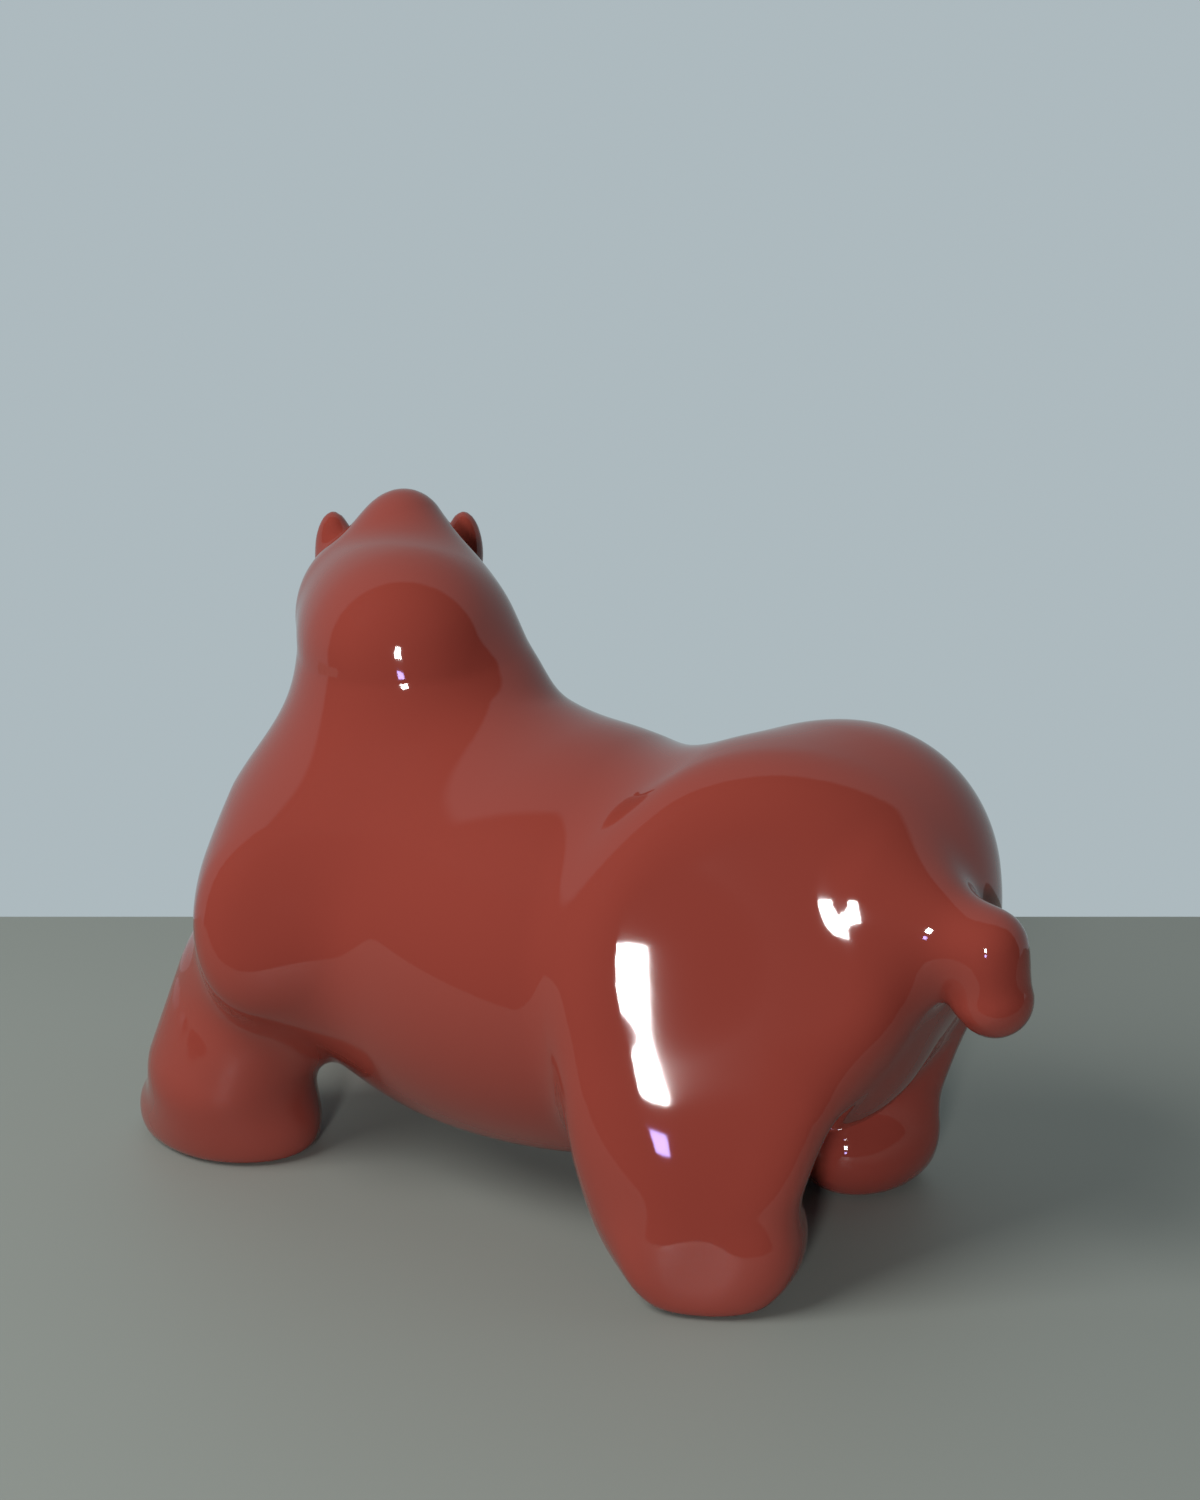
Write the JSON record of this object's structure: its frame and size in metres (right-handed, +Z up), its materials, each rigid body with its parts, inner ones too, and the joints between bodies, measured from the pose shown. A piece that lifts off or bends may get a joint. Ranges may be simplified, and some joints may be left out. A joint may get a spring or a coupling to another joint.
{
  "type": "horse sculpture",
  "caption": "Plump standing horse in red glazed clay, head turned back to its right, short stump legs and a stub tail.",
  "frame": {"origin": "centre of the footprint, on the plane that the four feet stand on", "axes": "+X from the tail to the chest, +Y to the horse's left, +Z up"},
  "size_m": [0.2682, 0.145, 0.1918],
  "materials": {
    "glaze": "high-gloss red-orange glaze over clay, with brown thin patches and pinholes"
  },
  "bodies": {
    "root": {"horse": "glaze"}
  },
  "joints": []
}
